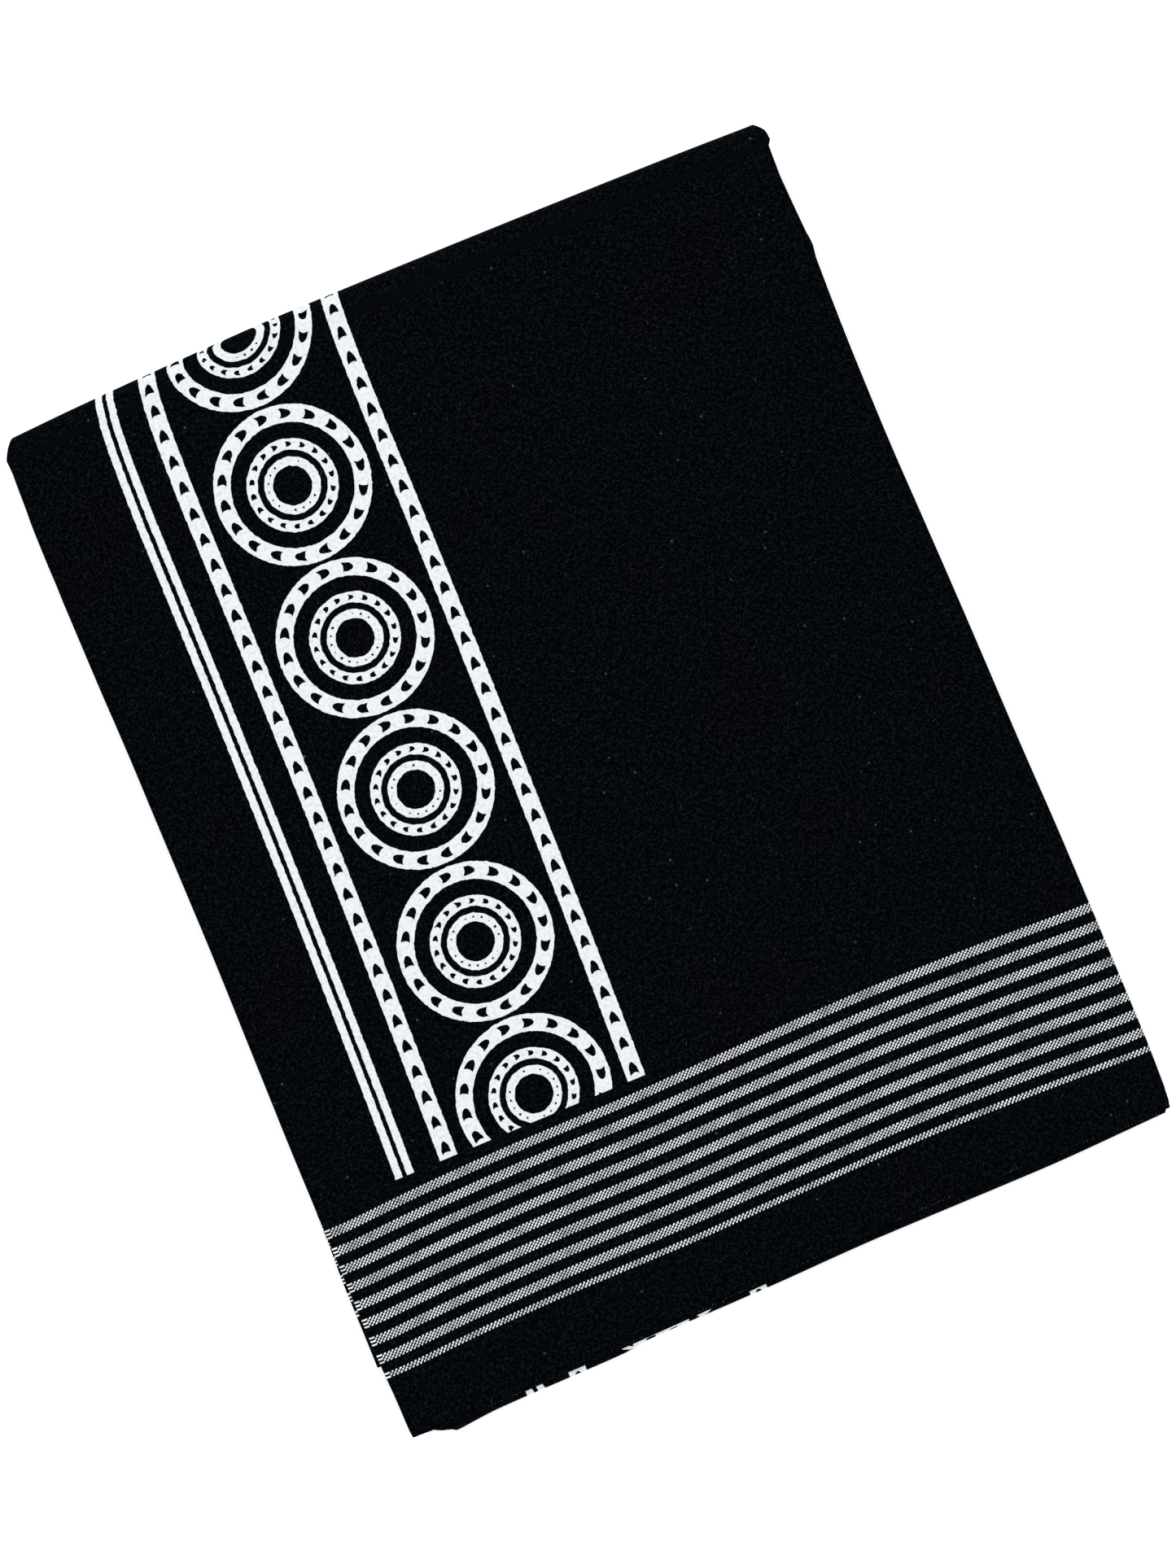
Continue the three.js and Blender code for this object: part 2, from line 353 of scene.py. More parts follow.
def front_rows(steps):
    rows = []
    for y_row in along_places(selvedge_middle, fold_room, steps):
        hold = 1 - smooth_step(y_row, selvedge_middle, selvedge_middle + selvedge_fade)

        def place(x, depth, y_row=y_row, hold=hold):
            share = smooth_step(depth / stack_thickness, 0.05, 0.6)
            selvedge = front_selvedge_at(x) * (1 - share) + inner_selvedge_at(x) * share
            y = y_row + (selvedge - selvedge_middle) * hold
            z = front_height_at(y) + front_swell(x, y) * (1 - depth / stack_thickness)
            return y, z, 0, -1

        rows.append(Row(front_left(y_row), front_right(y_row), place, front_border,
                        lambda y: y))
    return rows


def top_fold_rows(steps):
    rows = []
    for i in range(steps + 1):
        turn = math.pi * (0.5 - i / steps)

        def place(x, depth, turn=turn):
            centre = top_at(x) - top_fold_radius
            y = centre + top_fold_radius * math.cos(turn)
            z = top_fold_radius + top_fold_radius * math.sin(turn) + 0 * x
            return y, z, -math.cos(turn), -math.sin(turn)

        reach = fold_start + top_fold_radius * math.cos(turn)
        blend = i / steps
        left = front_left(reach) * (1 - blend) + back_left(reach) * blend
        right = front_right(reach) * (1 - blend) + back_right(reach) * blend
        arc = top_fold_radius * (math.pi / 2 - turn)
        rows.append(Row(left, right, place, far_border, lambda y, arc=arc: fold_start + arc))
    return rows


def back_rows(steps):
    rows = []
    for y_row in np.linspace(fold_room, -fold_room, steps):

        def place(x, depth, y_row=y_row):
            return y_row + 0 * x, 0 * x, 0, 1

        rows.append(Row(back_left(y_row), back_right(y_row), place, far_border,
                        lambda y: back_start + print_back_stretch * (fold_start - y)))
    return rows


def bottom_fold_rows(steps):
    rows = []
    for i in range(steps + 1):
        turn = math.pi * (i / steps - 0.5)

        def place(x, depth, turn=turn):
            centre = bottom_at(x) + bottom_fold_radius
            y = centre - bottom_fold_radius * math.cos(turn)
            z = bottom_fold_radius + bottom_fold_radius * math.sin(turn) + 0 * x
            return y, z, math.cos(turn), -math.sin(turn)

        reach = -fold_room + (pack_low[1] + fold_room) * math.cos(turn)
        arc = bottom_fold_radius * (turn + math.pi / 2)
        rows.append(Row(back_left(reach), back_right(reach), place, far_border,
                        lambda y, arc=arc: back_end + print_back_stretch * arc))
    return rows


def third_stack_rows(start, end, steps):
    rows = []
    for y_row in np.linspace(start, end, steps):

        def place(x, depth, y_row=y_row):
            return y_row + 0 * x, third_stack_top + 0 * x, 0, -1

        rows.append(Row(back_left(y_row), back_right(y_row), place, far_border,
                        lambda y: third_start + print_back_stretch * (y - bottom_start)))
    return rows


def inner_fold_rows(steps):
    rows = []
    height = (third_stack_top + second_stack_foot) / 2
    for i in range(1, steps):
        turn = math.pi * (i / steps - 0.5)

        def place(x, depth, turn=turn):
            centre = top_at(x) - top_fold_radius
            y = centre + inner_fold_hollow * math.cos(turn)
            z = height + inner_fold_hollow * math.sin(turn) + 0 * x
            return y, z, math.cos(turn), math.sin(turn)

        rows.append(Row(back_left(fold_room), back_right(fold_room), place, far_border,
                        lambda y: third_start + print_back_stretch * (y - bottom_start)))
    return rows


def second_border(x, y):
    return y - second_selvedge_at(x) + stripe_from_selvedge - second_stripe_from_selvedge


def second_stack_rows(steps):
    rows = []
    for y_row in reversed(along_places(second_selvedge_middle, fold_room, steps)):
        hold = 1 - smooth_step(y_row, second_selvedge_middle, second_selvedge_middle + second_stack_fade)
        top = front_height_at(y_row) - stack_thickness - stack_gap
        thickness = min(top - second_stack_foot, stack_thickness)

        def place(x, depth, y_row=y_row, hold=hold):
            y = y_row + (second_selvedge_at(x) - second_selvedge_middle) * hold
            return y, second_stack_foot + 0 * x, 0, 1

        rows.append(Row(second_left(y_row), second_right(y_row), place, second_border,
                        lambda y: hidden_path - y, thickness))
    return rows


# Meshes

def open_lip_radius(edge):
    """How far the lip that a ply belongs to reaches past its flat run, in plies."""
    return np.select([np.isin(edge, (5, 8)), np.isin(edge, (3, 4, 6, 7))], [1.5, 0.5], 0.0)


def grid_mesh(name, rows):
    across = len(rows[0])
    points = np.concatenate(rows) * METRE
    faces = []
    for r in range(len(rows) - 1):
        for c in range(across - 1):
            a = r * across + c
            faces.append((a, a + 1, a + across + 1, a + across))
    mesh = bpy.data.meshes.new(name)
    mesh.from_pydata(points.tolist(), [], faces)
    mesh.shade_smooth()
    mesh.update()
    return mesh


def cloth_mesh(name, section, rows):
    """The sheet through the rows, with the cloth's own coordinates and the print's, in
    millimetres, as attributes."""
    share, depth, bulge, edge, along = section.arrays()
    closed_room = stack_thickness / 2
    points, cloth, ink = [], [], []
    for row in rows:
        pitch = row.thickness / plies
        start = row.left + closed_room
        middle = row.path(0.0)
        inset = np.zeros(len(share))
        for ply in range(1, plies + 1):
            sway = sway_size * float(open_edge_sway[ply](middle))
            inset[edge == ply] = max(open_edge_inset[ply] + sway, 0)
        end = row.right - inset - open_lip_radius(edge) * pitch
        x = start + (end - start) * share + bulge * pitch
        deep = depth * pitch
        y, z, in_y, in_z = row.place(x, deep)
        y = y + deep * in_y
        z = z + deep * in_z
        points.append(np.stack([x, y, z], 1))
        path = row.path(y) + 0 * x
        cloth.append(np.stack([along, row.border(x, y), 0 * x], 1))
        rise = path - pack_middle
        climb = np.minimum(rise, print_turns_over)
        left = print_left + print_lean * climb + print_lean_change * climb ** 2
        left = left + print_back_lean * (rise - climb)
        drag = print_drag_at(path)
        from_left = x - left
        from_left = from_left - drag * (1 - print_drag_loss * from_left)
        ink.append(np.stack([from_left, path - print_rise_at(path), 0 * x], 1))
    mesh = grid_mesh(name, points)
    for attribute, values in (("cloth_place", cloth), ("print_place", ink)):
        layer = mesh.attributes.new(attribute, "FLOAT_VECTOR", "POINT")
        layer.data.foreach_set("vector", np.concatenate(values).astype(np.float32).ravel())
    return mesh


def add_piece(name, mesh):
    piece = bpy.data.objects.new(name, mesh)
    bpy.context.scene.collection.objects.link(piece)
    return piece


def give_thickness(piece):
    solid = piece.modifiers.new("cloth thickness", "SOLIDIFY")
    solid.thickness = cloth_thickness * METRE
    solid.offset = 0
    solid.use_even_offset = False


def finished_copy(piece):
    """The piece's mesh with its modifiers taken in."""
    graph = bpy.context.evaluated_depsgraph_get()
    done = bpy.data.meshes.new_from_object(piece.evaluated_get(graph))
    done.name = piece.name
    return done


# Shader formulas

class Formula:
    """Short names for the nodes of one tree. Sizes in a formula are in millimetres."""

    def __init__(self, tree):
        self.tree = tree

    def node(self, kind, **settings):
        node = self.tree.nodes.new(kind)
        for key, value in settings.items():
            setattr(node, key, value)
        return node

    def put(self, socket, value):
        if isinstance(value, bpy.types.NodeSocket):
            self.tree.links.new(value, socket)
        else:
            socket.default_value = value

    def math(self, operation, *values, clamp=False):
        node = self.node("ShaderNodeMath", operation=operation, use_clamp=clamp)
        for socket, value in zip(node.inputs, values):
            self.put(socket, value)
        return node.outputs[0]

    def add(self, a, b):
        return self.math("ADD", a, b)

    def minus(self, a, b):
        return self.math("SUBTRACT", a, b)

    def times(self, a, b):
        return self.math("MULTIPLY", a, b)

    def over(self, a, b):
        return self.math("DIVIDE", a, b)

    def size(self, a):
        return self.math("ABSOLUTE", a)

    def least(self, a, b):
        return self.math("MINIMUM", a, b)

    def most(self, a, b):
        return self.math("MAXIMUM", a, b)

    def centred(self, a, pitch):
        """a's place in its repeat, from minus to plus half a pitch."""
        return self.math("WRAP", a, self.half(pitch), self.half(pitch, -1))

    def half(self, a, sign=1):
        return self.times(a, 0.5 * sign) if isinstance(a, bpy.types.NodeSocket) else 0.5 * sign * a

    def within(self, inside, soft):
        """A mask from how far inside a shape a point lies."""
        return self.math("MULTIPLY_ADD", inside, 1 / soft, 0.5, clamp=True)

    def noise(self, place, scale, detail=2.0, roughness=0.5):
        node = self.node("ShaderNodeTexNoise")
        self.put(node.inputs["Vector"], place)
        node.inputs["Scale"].default_value = scale
        node.inputs["Detail"].default_value = detail
        node.inputs["Roughness"].default_value = roughness
        return node.outputs[0]

    def split(self, vector):
        node = self.node("ShaderNodeSeparateXYZ")
        self.put(node.inputs[0], vector)
        return node.outputs[0], node.outputs[1], node.outputs[2]

    def join(self, x, y, z=0.0):
        node = self.node("ShaderNodeCombineXYZ")
        for socket, value in zip(node.inputs, (x, y, z)):
            self.put(socket, value)
        return node.outputs[0]

    def between(self, value, low, high, new_low, new_high):
        node = self.node("ShaderNodeMapRange", clamp=True)
        for key, each in zip(("Value", "From Min", "From Max", "To Min", "To Max"),
                             (value, low, high, new_low, new_high)):
            self.put(node.inputs[key], each)
        return node.outputs[0]

    def blend(self, share, first, second):
        node = self.node("ShaderNodeMix", data_type="RGBA")
        self.put(node.inputs["Factor"], share)
        self.put(node.inputs[6], first)
        self.put(node.inputs[7], second)
        return node.outputs[2]


def new_group(name, inputs, outputs):
    """A shader group with its inputs and outputs. Each input is (name, kind, value)."""
    tree = bpy.data.node_groups.new(name, "ShaderNodeTree")
    kinds = {"value": "NodeSocketFloat", "vector": "NodeSocketVector", "colour": "NodeSocketColor"}
    for title, kind, value in inputs:
        socket = tree.interface.new_socket(title, in_out="INPUT", socket_type=kinds[kind])
        if value is not None:
            socket.default_value = value
    for title, kind in outputs:
        tree.interface.new_socket(title, in_out="OUTPUT", socket_type=kinds[kind])
    f = Formula(tree)
    return f, f.node("NodeGroupInput").outputs, f.node("NodeGroupOutput").inputs


def weave_group():
    """Plain weave: threads over and under, and uneven yarn whose bright spots are painted yarn
    highlights.
    """
    f, given, made = new_group(
        "plain weave",
        [("Cloth Place", "vector", None), ("Thread Pitch", "value", 0.42)],
        [("Height", "value"), ("Yarn Highlight", "value")],
    )
    along, across, _ = f.split(given["Cloth Place"])
    drift = f.minus(f.noise(given["Cloth Place"], 0.35, 2.0), 0.5)
    u = f.over(f.add(along, f.times(drift, 0.5)), given["Thread Pitch"])
    v = f.over(f.add(across, f.times(drift, 0.5)), given["Thread Pitch"])
    warp = f.math("SINE", f.times(u, math.pi))
    weft = f.math("SINE", f.times(v, math.pi))
    height = f.times(f.times(warp, weft), 0.5)
    round_threads = f.add(f.size(warp), f.size(weft))
    f.put(made["Height"], f.add(height, f.times(round_threads, 0.35)))
    # Partly uneven yarn and partly painted highlight: these sparse bright spots stand in for light
    # caught on the yarn.
    slub_highlight_along = f.noise(f.join(f.times(along, 0.7), f.times(across, 1.7)), 1.0, 2.0, 0.65)
    slub_highlight_across = f.noise(f.join(f.times(along, 1.7), f.times(across, 0.7), 7.0), 1.0, 2.0, 0.65)
    f.put(made["Yarn Highlight"], f.between(f.most(slub_highlight_along, slub_highlight_across), 0.52, 0.72, 0.0, 1.0))
    return f.tree


def border_group():
    """The woven border: dotted stripes in white yarn, nearest the woven edge the narrow one."""
    f, given, made = new_group(
        "dotted border",
        [
            ("Cloth Place", "vector", None),
            ("First Stripe", "value", stripe_from_selvedge),
            ("Stripe Pitch", "value", 5.7125),
            ("Stripe Width", "value", 2.69),
            ("Narrow Width", "value", 1.81),
            ("Dot Length", "value", 0.6375),
            ("Dot Height", "value", 0.55),
            ("Lean", "value", 0.4),
        ],
        [("Mask", "value"), ("Wear", "value")],
    )
    along, across, _ = f.split(given["Cloth Place"])
    below = f.minus(given["First Stripe"], across)
    count = f.math("FLOOR", f.over(below, given["Stripe Pitch"]))
    inside = f.minus(below, f.times(count, given["Stripe Pitch"]))
    narrow = f.math("GREATER_THAN", count, 7.5)
    width = f.add(
        f.times(narrow, given["Narrow Width"]),
        f.times(f.minus(1.0, narrow), given["Stripe Width"]),
    )
    in_border = f.times(f.math("GREATER_THAN", count, -0.5), f.math("LESS_THAN", count, 8.5))
    edge = f.least(inside, f.minus(width, inside))
    stripe = f.times(f.within(edge, 0.1), in_border)
    dot_height = f.times(given["Dot Height"], f.add(f.times(narrow, 0.12), 1.0))
    row_place = f.over(inside, dot_height)
    row = f.math("FLOOR", row_place)
    in_row = f.minus(f.minus(row_place, row), 0.5)
    lean = f.times(f.times(in_row, given["Lean"]), given["Dot Length"])
    uneven = f.times(f.minus(f.noise(given["Cloth Place"], 0.6, 1.0), 0.5), 0.5)
    shift = f.minus(f.add(f.times(row, given["Dot Length"]), uneven), lean)
    pitch = f.times(given["Dot Length"], 2.0)
    to_dot = f.size(f.centred(f.add(along, shift), pitch))
    half_dot = f.times(given["Dot Length"], 0.49)
    long_way = f.math("POWER", f.over(to_dot, half_dot), 2.0)
    short_way = f.math("POWER", f.over(f.size(in_row), 0.53), 2.0)
    oval = f.minus(1.0, f.math("SQRT", f.add(long_way, short_way)))
    dot = f.within(f.times(oval, half_dot), 0.11)
    f.put(made["Mask"], f.times(dot, stripe))
    wear = f.noise(given["Cloth Place"], 0.16, 4.0, 0.65)
    f.put(made["Wear"], f.between(wear, 0.42, 0.66, 0.0, 1.0))
    return f.tree


# The print: two lines, then a band of rings between two rules. Places are from its left edge.
line_width = 2.235
second_line = 3.6
left_rule = 16.95
right_rule = 77.18
rule_width = 5.5
ring_middle = 47.2
ring_pitch = 48.18
ring_phase = 17.1
print_end = -86.9
rings = [(5.8, 8.4), (10.35, 13.6), (18.3, 23.5)]
dart_turn = 20.0
dart_phase = 14.0
ring_darts = [(7.2, 0.75, 0.7), (12.0, 1.85, 1.6), (20.9, 3.5, 2.8)]
rule_dart = (3.9, 2.85)
domed = (2.6, 0.5)
pointed = (2.0, 0.6)
dart_hollow = 0.13
rule_dart_pitch = ring_pitch / 6
rule_dart_phase = ring_phase - 4.45


def dart(f, forward, aside, length, width, tip):
    """How far inside a dart a point lies: a tip ahead and a hollowed end behind."""
    fullness, bluntness = tip
    from_end = f.add(forward, length / 2)
    u = f.math("MULTIPLY", from_end, 1 / length, clamp=True)
    taper = f.math("POWER", f.minus(1.0, f.math("POWER", u, fullness)), bluntness)
    past_tip = f.most(f.minus(from_end, length), 0.0)
    flank = f.minus(f.minus(f.times(taper, width / 2), f.size(aside)), past_tip)
    to_side = f.over(f.size(aside), width / 2)
    hollow = f.times(f.minus(1.0, f.times(to_side, to_side)), dart_hollow * length)
    return f.least(flank, f.minus(from_end, hollow))


def print_group():
    """The white print, worked out from its own places."""
    f, given, made = new_group(
        "ring and dart print",
        [("Print Place", "vector", None), ("Ragged", "value", 0.8), ("Softness", "value", 0.12)],
        [("Mask", "value")],
    )
    x, y, _ = f.split(given["Print Place"])

    def band(value, low, width):
        return f.minus(width / 2, f.size(f.minus(value, low + width / 2)))

    ink = f.most(band(x, 0, line_width), band(x, second_line, line_width))

    along_rule = f.centred(f.minus(y, rule_dart_phase), rule_dart_pitch)
    for rule in (left_rule, right_rule):
        aside = f.minus(x, rule)
        strip = f.minus(rule_width / 2, f.size(aside))
        hole = dart(f, along_rule, aside, *rule_dart, pointed)
        ink = f.most(ink, f.least(strip, f.times(hole, -1.0)))

    from_x = f.minus(x, ring_middle)
    from_y = f.centred(f.minus(y, ring_phase), ring_pitch)
    radius = f.math("SQRT", f.add(f.times(from_x, from_x), f.times(from_y, from_y)))
    angle = f.times(f.math("ARCTAN2", from_y, from_x), 180 / math.pi)
    turn = f.centred(f.minus(angle, dart_phase), dart_turn)
    for (inner, outer), (at, length, width) in zip(rings, ring_darts):
        ring = band(radius, inner, outer - inner)
        forward = f.times(turn, -at * math.pi / 180)
        hole = dart(f, forward, f.minus(radius, at), length, width, domed)
        if length < 1:
            closed = f.noise(f.join(f.times(x, 0.21), f.times(y, 0.21)), 1.0, 0.0)
            hole = f.minus(hole, f.between(closed, 0.45, 0.65, 0.0, 0.25))
        ink = f.most(ink, f.least(ring, f.times(hole, -1.0)))

    ragged = f.times(f.minus(f.noise(given["Print Place"], 0.5, 3.0, 0.55), 0.5), given["Ragged"])
    ink = f.least(f.add(ink, ragged), f.minus(y, print_end))
    f.put(made["Mask"], f.math("DIVIDE", f.add(ink, f.half(given["Softness"])),
                               given["Softness"], clamp=True))
    return f.tree


def lint_group():
    """Small pale specks and a slow change of tone over the cloth."""
    f, given, made = new_group(
        "lint and tone",
        [("Cloth Place", "vector", None)],
        [("Specks", "value"), ("Tone", "value")],
    )
    cells = f.node("ShaderNodeTexVoronoi", feature="F1")
    f.put(cells.inputs["Vector"], given["Cloth Place"])
    cells.inputs["Scale"].default_value = 0.16
    _, _, pick = f.split(cells.outputs["Color"])
    reach = f.between(pick, 0.2, 1.0, 0.025, 0.06)
    specks = f.within(f.minus(reach, cells.outputs["Distance"]), 0.02)
    f.put(made["Specks"], f.times(specks, f.between(pick, 0.2, 1.0, 0.0, 0.9)))
    f.put(made["Tone"], f.noise(given["Cloth Place"], 0.02, 3.0, 0.55))
    return f.tree


black_cotton = (0.0001, 0.0007, 0.0015, 1)
# The two lifted colours are painted yarn highlights, brighter than the cotton's own black, with a tint
# that varies at random between them.
black_highlit_yarn = (0.0076, 0.0108, 0.0134, 1)
plum_highlit_yarn = (0.0100, 0.0096, 0.0130, 1)
white_yarn = (0.90, 0.93, 0.93, 1)
grey_yarn = (0.50, 0.53, 0.56, 1)
white_ink = (0.80, 0.84, 0.85, 1)
thin_ink = (0.60, 0.66, 0.68, 1)
lint_grey = (0.045, 0.050, 0.056, 1)
cotton_roughness = 0.92
ink_smoother = 0.25
ink_fills_weave = 0.6
cotton_shine = 0.008
weave_strength = 0.35
weave_depth = 0.12

weave_tree = weave_group()
border_tree = border_group()
print_tree = print_group()
lint_tree = lint_group()


def cotton_material(name, printed):
    """Black cotton with the woven border and, on the outer ply, the print."""
    material = bpy.data.materials.new(name)
    material.use_nodes = True
    material.node_tree.nodes.clear()
    f = Formula(material.node_tree)

    def group(tree, place):
        node = f.node("ShaderNodeGroup", node_tree=tree)
        f.put(node.inputs[0], place)
        return node.outputs

    cloth_place = f.node("ShaderNodeAttribute", attribute_name="cloth_place").outputs["Vector"]
    weave = group(weave_tree, cloth_place)
    border = group(border_tree, cloth_place)
    lint = group(lint_tree, cloth_place)

    # Painted yarn highlights: the yarn mask lifts the black towards the highlight colours, and their
    # tint varies at random over the cloth.
    highlit_yarn_tint = f.blend(f.between(lint["Tone"], 0.53, 0.62, 0.0, 1.0), black_highlit_yarn, plum_highlit_yarn)
    cotton = f.blend(weave["Yarn Highlight"], black_cotton, highlit_yarn_tint)
    cotton = f.blend(lint["Specks"], cotton, lint_grey)
    white = f.blend(border["Wear"], white_yarn, grey_yarn)
    colour = f.blend(border["Mask"], cotton, white)
    height = f.add(weave["Height"], f.times(border["Mask"], 0.5))
    roughness = cotton_roughness
    if printed:
        print_place = f.node("ShaderNodeAttribute", attribute_name="print_place").outputs["Vector"]
        ink = group(print_tree, print_place)["Mask"]
        pores = f.noise(print_place, 0.9, 4.0, 0.65)
        pores = f.between(pores, 0.46, 0.68, 0.0, 1.0)
        colour = f.blend(ink, colour, f.blend(pores, white_ink, thin_ink))
        height = f.times(height, f.minus(1.0, f.times(ink, ink_fills_weave)))
        roughness = f.minus(cotton_roughness, f.times(ink, ink_smoother))

    surface = f.node("ShaderNodeBsdfPrincipled")
    f.put(surface.inputs["Base Color"], colour)
    f.put(surface.inputs["Roughness"], roughness)
    surface.inputs["Specular IOR Level"].default_value = cotton_shine
    surface.inputs["Sheen Weight"].default_value = cotton_shine
    surface.inputs["Sheen Roughness"].default_value = 0.3
    bump = f.node("ShaderNodeBump")
    bump.inputs["Strength"].default_value = weave_strength
    bump.inputs["Distance"].default_value = weave_depth * METRE
    f.put(bump.inputs["Height"], height)
    f.put(surface.inputs["Normal"], bump.outputs["Normal"])
    result = f.node("ShaderNodeOutputMaterial")
    f.put(result.inputs["Surface"], surface.outputs["BSDF"])
    return material


def plain_material(name, colour, roughness, specular=0.3):
    material = bpy.data.materials.new(name)
    material.use_nodes = True
    surface = material.node_tree.nodes["Principled BSDF"]
    surface.inputs["Base Color"].default_value = colour
    surface.inputs["Roughness"].default_value = roughness
    surface.inputs["Specular IOR Level"].default_value = specular
    return material


def fibre_material(name, dark, light):
    """Loose fibres, some paler than others."""
    material = plain_material(name, light, 0.9, 0.1)
    f = Formula(material.node_tree)
    place = f.node("ShaderNodeTexCoord").outputs["Object"]
    pick = f.between(f.noise(place, 160.0, 1.0), 0.4, 0.6, 0.0, 1.0)
    surface = material.node_tree.nodes["Principled BSDF"]
    f.put(surface.inputs["Base Color"], f.blend(pick, dark, light))
    return material


# Fibres, by Geometry Nodes

def fibre_tree(name, material, over_faces):
    """Bent fibres scattered over a mesh's faces, or set along its edges."""
    tree = bpy.data.node_groups.new(name, "GeometryNodeTree")
    face = tree.interface
    face.new_socket("Geometry", in_out="INPUT", socket_type="NodeSocketGeometry")
    for title, value in (("Density", 1000.0), ("Spacing", 0.001), ("Length", 0.001),
                         ("Thickness", 0.00005), ("Lift", 0.3)):
        face.new_socket(title, in_out="INPUT", socket_type="NodeSocketFloat").default_value = value
    face.new_socket("Seed", in_out="INPUT", socket_type="NodeSocketInt").default_value = 1
    face.new_socket("Geometry", in_out="OUTPUT", socket_type="NodeSocketGeometry")
    f = Formula(tree)
    given = f.node("NodeGroupInput").outputs
    made = f.node("NodeGroupOutput").inputs

    hair = f.node("GeometryNodeCurveQuadraticBezier")
    hair.inputs["Resolution"].default_value = 4
    hair.inputs["Start"].default_value = (-0.5, 0, 0)
    hair.inputs["Middle"].default_value = (0.05, 0.34, 0.12)
    hair.inputs["End"].default_value = (0.5, -0.06, 0)
    resize = f.node("GeometryNodeTransform")
    f.put(resize.inputs["Geometry"], hair.outputs[0])
    f.put(resize.inputs["Scale"], f.join(given["Length"], given["Length"], given["Length"]))
    ring = f.node("GeometryNodeCurvePrimitiveCircle")
    ring.inputs["Resolution"].default_value = 3
    f.put(ring.inputs["Radius"], f.times(given["Thickness"], 0.5))
    tube = f.node("GeometryNodeCurveToMesh")
    f.put(tube.inputs["Curve"], resize.outputs[0])
    f.put(tube.inputs["Profile Curve"], ring.outputs[0])
    tube.inputs["Fill Caps"].default_value = True

    place = f.node("GeometryNodeInstanceOnPoints")
    if over_faces:
        scatter = f.node("GeometryNodeDistributePointsOnFaces", distribute_method="RANDOM")
        f.put(scatter.inputs["Mesh"], given["Geometry"])
        f.put(scatter.inputs["Density"], given["Density"])
        f.put(scatter.inputs["Seed"], given["Seed"])
        f.put(place.inputs["Points"], scatter.outputs["Points"])
    else:
        curve = f.node("GeometryNodeMeshToCurve")
        f.put(curve.inputs["Mesh"], given["Geometry"])
        even = f.node("GeometryNodeResampleCurve", mode="LENGTH")
        f.put(even.inputs["Curve"], curve.outputs[0])
        f.put(even.inputs["Length"], given["Spacing"])
        f.put(place.inputs["Points"], even.outputs[0])
    f.put(place.inputs["Instance"], tube.outputs["Mesh"])

    turn = f.node("FunctionNodeRandomValue", data_type="FLOAT_VECTOR")
    f.put(turn.inputs["Seed"], given["Seed"])
    f.put(turn.inputs[0], f.join(f.times(given["Lift"], -1.0), f.times(given["Lift"], -1.0), 0.0))
    f.put(turn.inputs[1], f.join(given["Lift"], given["Lift"], 2 * math.pi))
    f.put(place.inputs["Rotation"], turn.outputs[0])
    grow = f.node("FunctionNodeRandomValue", data_type="FLOAT")
    f.put(grow.inputs["Seed"], f.add(given["Seed"], 5.0))
    grow.inputs[2].default_value = 0.35
    grow.inputs[3].default_value = 1.3
    f.put(place.inputs["Scale"], f.join(grow.outputs[1], grow.outputs[1], 1.0))

    real = f.node("GeometryNodeRealizeInstances")
    f.put(real.inputs[0], place.outputs[0])
    finish = f.node("GeometryNodeSetMaterial")
    f.put(finish.inputs["Geometry"], real.outputs[0])
    finish.inputs["Material"].default_value = material
    f.put(made["Geometry"], finish.outputs[0])
    return tree


def grow_fibres(name, host_mesh, tree, material, **sizes):
    """A plain mesh of the fibres that the tree sets on the host mesh."""
    host = add_piece(name + "_host", host_mesh)
    grower = host.modifiers.new("fibres", "NODES")
    grower.node_group = tree
    titles = {item.name: item.identifier for item in tree.interface.items_tree
              if item.in_out == "INPUT"}
    for title, value in sizes.items():
        grower[titles[title.capitalize()]] = value
    mesh = finished_copy(host)
    bpy.data.objects.remove(host)
    mesh.name = name
    if not mesh.materials:
        mesh.materials.append(material)
    return add_piece(name, mesh)


# The pieces

printed_cotton = cotton_material("printed black cotton", True)
plain_cotton = cotton_material("black cotton", False)
pale_fibre = fibre_material("loose cotton fibre", (0.03, 0.03, 0.032, 1), (0.22, 0.22, 0.22, 1))

under_start = -151.5
under_end = -138.0
around = (top_fold_rows(14), back_rows(110), bottom_fold_rows(10))
outer_rows = [*front_rows(124), *around[0], *around[1], *around[2],
              *third_stack_rows(under_start, under_end, 5)]
outer_ply = add_piece("outer_ply", cloth_mesh("outer_ply", outer_section(), outer_rows))
outer_ply.data.materials.append(printed_cotton)

inner_rows = [*front_rows(40), *top_fold_rows(12), *back_rows(34), *bottom_fold_rows(9),
              *third_stack_rows(under_start, under_end, 4)]
inner_plies = add_piece("inner_plies", cloth_mesh("inner_plies", inner_section(8), inner_rows))
inner_plies.data.materials.append(plain_cotton)

second_rows = [*third_stack_rows(under_end + 1, fold_room, 34), *inner_fold_rows(10),
               *second_stack_rows(46)]
second_stack = add_piece("second_stack", cloth_mesh("second_stack", inner_section(1), second_rows))
second_stack.data.materials.append(plain_cotton)


def face_part(piece, name, keep):
    """A copy of the piece's faces whose middle passes keep, for fibres to stand on."""
    source = piece.data
    places = np.empty(len(source.vertices) * 3)
    source.vertices.foreach_get("co", places)
    places = places.reshape(-1, 3)
    kept = [tuple(p.vertices) for p in source.polygons
            if keep(places[list(p.vertices)].mean(0) / METRE)]
    mesh = bpy.data.meshes.new(name)
    mesh.from_pydata(places.tolist(), [], kept)
    return mesh


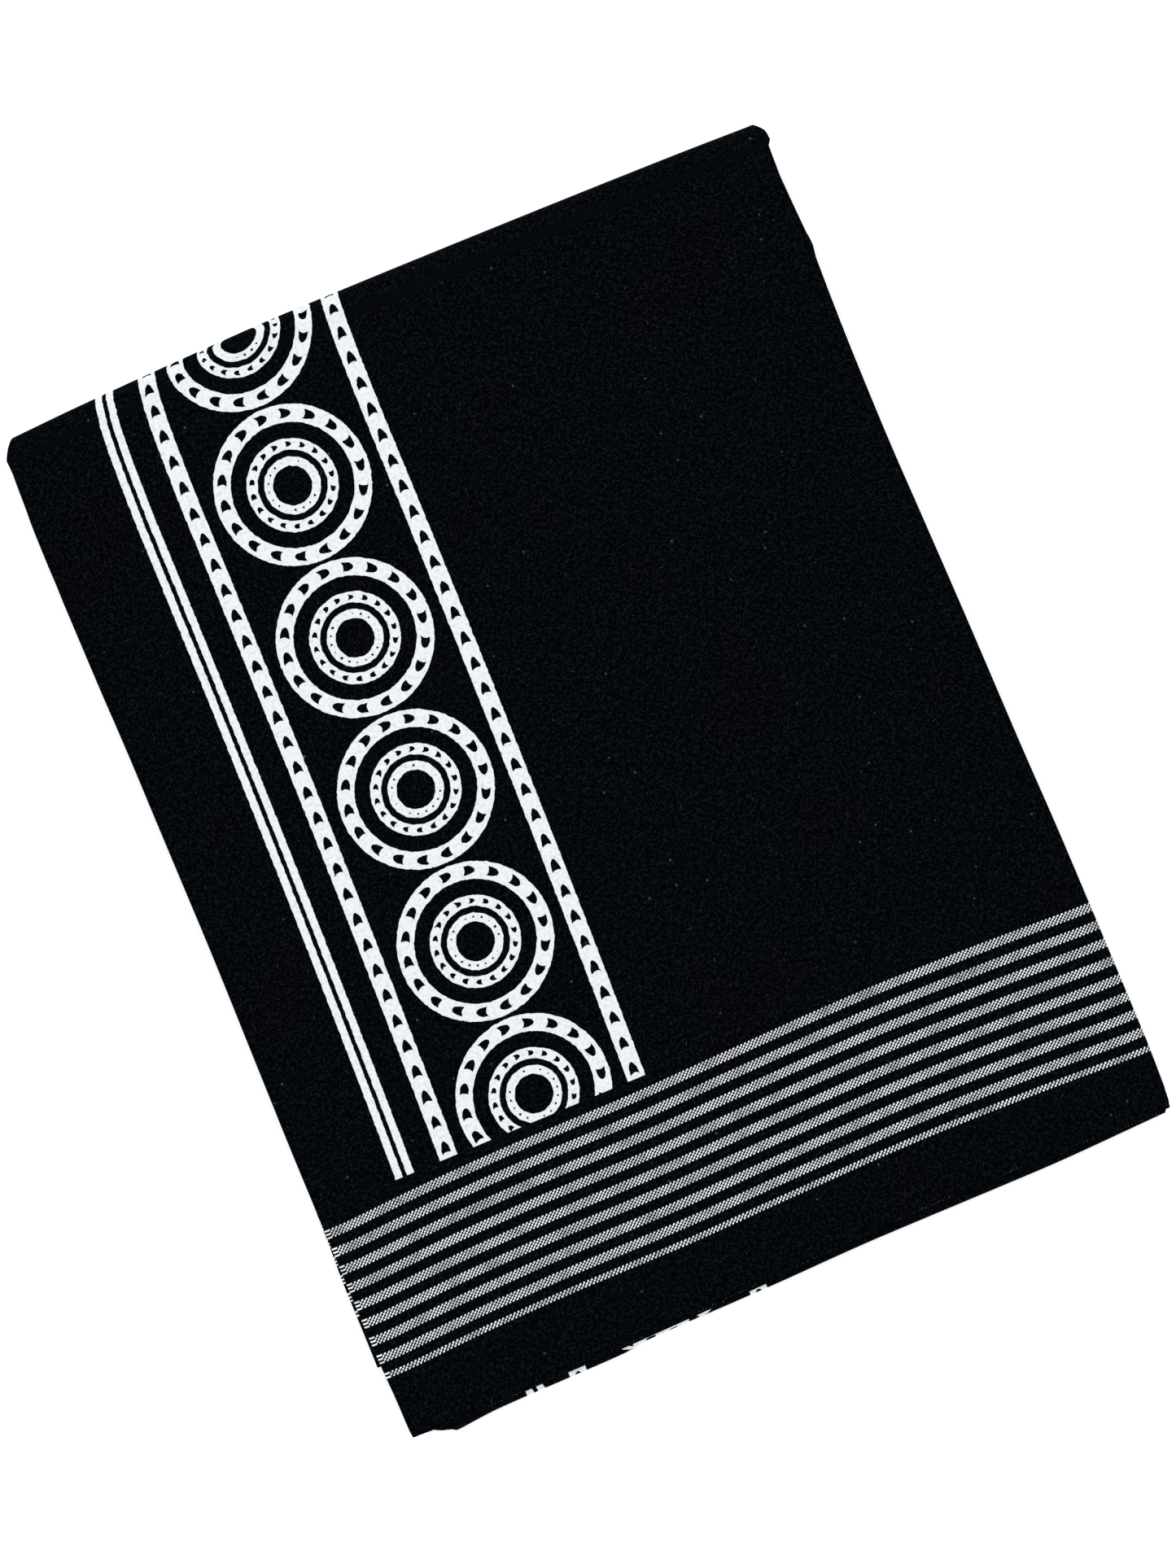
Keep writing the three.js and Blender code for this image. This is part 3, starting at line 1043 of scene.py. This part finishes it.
def edge_line(name, points):
    """A run of edges through points, for threads to stand along."""
    mesh = bpy.data.meshes.new(name)
    edges = [(i, i + 1) for i in range(len(points) - 1)]
    mesh.from_pydata((np.array(points) * METRE).tolist(), edges, [])
    return mesh


scattered_lint = fibre_tree("scattered lint", pale_fibre, True)
frayed_edge = fibre_tree("frayed edge", pale_fibre, False)

lint = grow_fibres(
    "lint", face_part(outer_ply, "lint_ground", lambda p: p[2] > 8.8 and abs(p[0]) < 121),
    scattered_lint, pale_fibre, density=9000.0, length=1.7 * METRE, thickness=0.05 * METRE,
    lift=0.2, seed=4,
)

selvedge_line = []
for x in np.arange(-119, 121.5, 2.0):
    y = float(front_selvedge_at(x))
    selvedge_line.append((x, y, float(front_height_at(y)) - 0.2))
selvedge_threads = grow_fibres(
    "selvedge_threads", edge_line("selvedge_line", selvedge_line), frayed_edge, pale_fibre,
    spacing=1.1 * METRE, length=0.8 * METRE, thickness=0.07 * METRE, lift=0.5, seed=9,
)

for cloth in (outer_ply, inner_plies, second_stack):
    give_thickness(cloth)

# What the pieces are

for piece in (outer_ply, inner_plies, second_stack, lint, selvedge_threads):
    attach(piece, "root")
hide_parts("outer_stretch")
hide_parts("outer_stretch")
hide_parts("second_stretch", "hidden_layers")

# Floor, light and camera

floor_mesh = bpy.data.meshes.new("floor")
reach = 12.0
floor_mesh.from_pydata(
    [(-reach, -reach, -0.0002), (reach, -reach, -0.0002), (reach, reach, -0.0002),
     (-reach, reach, -0.0002)],
    [], [(0, 1, 2, 3)],
)
white_table = plain_material("white light table", (0.93, 0.93, 0.93, 1), 0.9, 0.1)
glow = white_table.node_tree.nodes["Principled BSDF"].inputs
glow["Emission Color"].default_value = (1, 1, 1, 1)
glow["Emission Strength"].default_value = 0.35
floor_mesh.materials.append(white_table)
floor = add_piece("floor", floor_mesh)


def turned_to(place, aim):
    """The turn that points a light's or camera's -Z at aim."""
    across = aim[0] - place[0]
    ahead = aim[1] - place[1]
    down = place[2] - aim[2]
    return (math.atan2(math.hypot(across, ahead), down), 0, math.atan2(-across, ahead))


def soft_light(name, place, aim, size, power):
    lamp = bpy.data.lights.new(name, "AREA")
    lamp.shape = "SQUARE"
    lamp.size = size
    lamp.energy = power
    holder = bpy.data.objects.new(name, lamp)
    holder.location = place
    holder.rotation_euler = turned_to(place, aim)
    bpy.context.scene.collection.objects.link(holder)


soft_light("overhead_light", (0.3, 0.5, 2.0), (0, 0, 0), 2.2, 11)
soft_light("side_light", (-1.3, 0.9, 1.1), (0, 0.05, 0), 1.2, 3)

world = bpy.data.worlds.new("studio")
bpy.context.scene.world = world
world.use_nodes = True
world.node_tree.nodes["Background"].inputs["Color"].default_value = (1, 1, 1, 1)
world.node_tree.nodes["Background"].inputs["Strength"].default_value = 0.9
bpy.context.scene.view_settings.view_transform = "Standard"

# The camera looks straight down, turned so that the pack leans as in the photograph
camera_lens = 85.0
sensor_long_side = 36.0
frame_long_side = 463.1
camera_turn = math.radians(-22.9)
camera_data = bpy.data.cameras.new("camera")
camera_data.lens = camera_lens
camera_data.sensor_width = sensor_long_side
camera = bpy.data.objects.new("camera", camera_data)
camera.location = (
    0.74 * METRE,
    -1.23 * METRE,
    (12.4 + frame_long_side * camera_lens / sensor_long_side) * METRE,
)
camera.rotation_euler = (0, 0, camera_turn)
bpy.context.scene.collection.objects.link(camera)
bpy.context.scene.camera = camera
